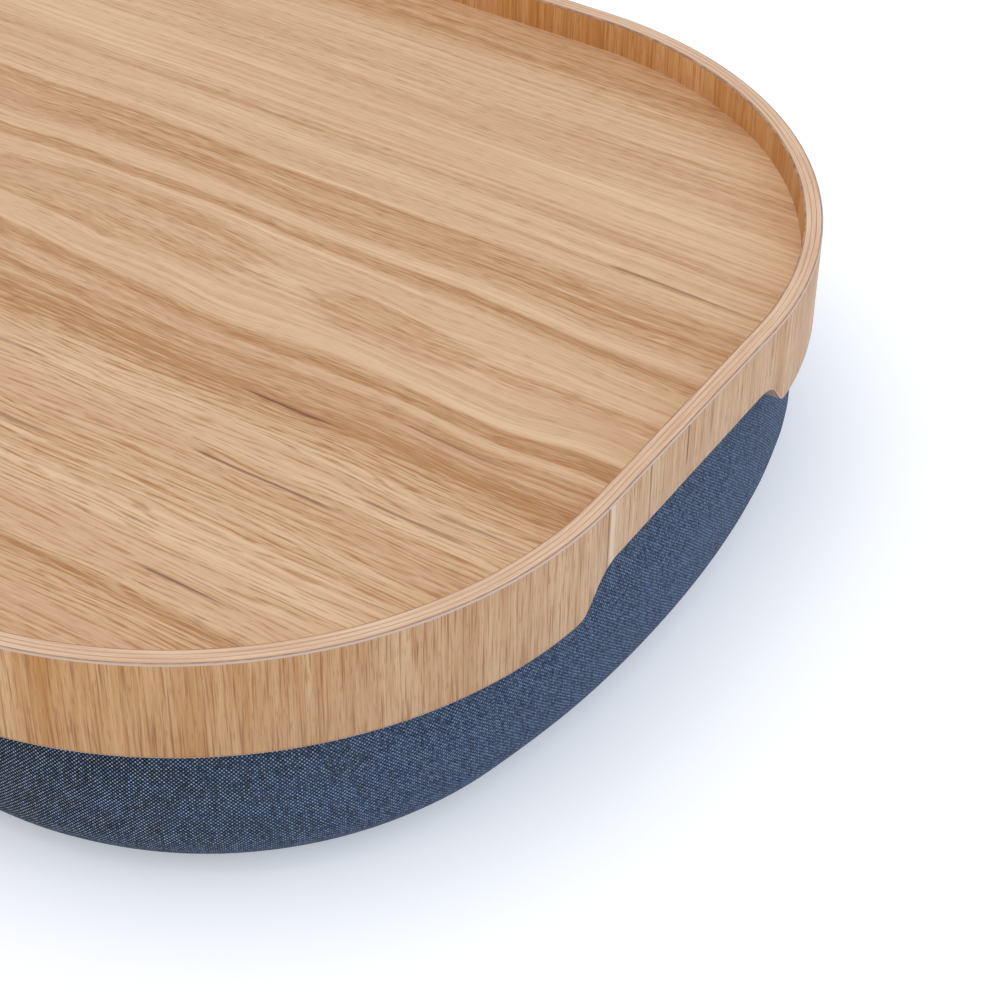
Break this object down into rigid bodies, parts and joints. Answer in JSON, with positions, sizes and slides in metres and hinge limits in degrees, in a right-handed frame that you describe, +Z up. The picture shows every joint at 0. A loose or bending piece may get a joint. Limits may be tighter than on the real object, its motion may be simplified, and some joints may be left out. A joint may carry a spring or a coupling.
{
  "type": "lap tray with cushion",
  "caption": "Rounded laminated-wood lap tray with a raised rim and hand notches, on a lift-off bead-filled cushion in woven cloth.",
  "frame": {"origin": "under the middle of the cushion, on the surface it stands on", "axes": "+X along the long side, +Y across the lap, +Z up out of the tray"},
  "size_m": [0.555, 0.385, 0.09],
  "materials": {
    "face_veneer": "satin",
    "rim_ply": "satin",
    "deck_ply": "matte",
    "hook_tape": "matte",
    "loop_tape": "matte",
    "cover_cloth": "matte",
    "zip_tape": "matte",
    "zip_chain": "satin",
    "zip_metal": "satin",
    "liner": "matte",
    "filling": "matte"
  },
  "bodies": {
    "cushion": {"cover_body": "cover_cloth", "cover_top_front": "cover_cloth", "cover_top_back": "cover_cloth", "zip_tape_front": "zip_tape", "zip_tape_back": "zip_tape", "zip_chain_front": "zip_chain", "zip_chain_back": "zip_chain", "zip_end_stop": "zip_metal", "zip_top_stops": "zip_metal", "loop_strips": "loop_tape", "liner_lower_leaf": "liner", "liner_upper_leaf": "liner", "bead_filling": "filling"},
    "tray": {"rim_outer_veneer": "face_veneer", "rim_outer_ply": "rim_ply", "rim_middle_ply": "rim_ply", "rim_inner_ply": "rim_ply", "rim_inner_veneer": "face_veneer", "deck_top_veneer": "face_veneer", "deck_upper_ply": "deck_ply", "deck_cross_ply": "deck_ply", "deck_lower_ply": "deck_ply", "deck_backing_veneer": "face_veneer", "hook_strips": "hook_tape"},
    "zip_slider": {"zip_slider": "zip_metal"}
  },
  "joints": [
    {"name": "tray_lift", "type": "slide", "parent": "cushion", "child": "tray", "axis": [0, 0, 1], "range_m": [0, 0.12]},
    {"name": "zip_slide", "type": "slide", "parent": "cushion", "child": "zip_slider", "axis": [-1, 0, 0], "range_m": [0, 0.327]}
  ]
}
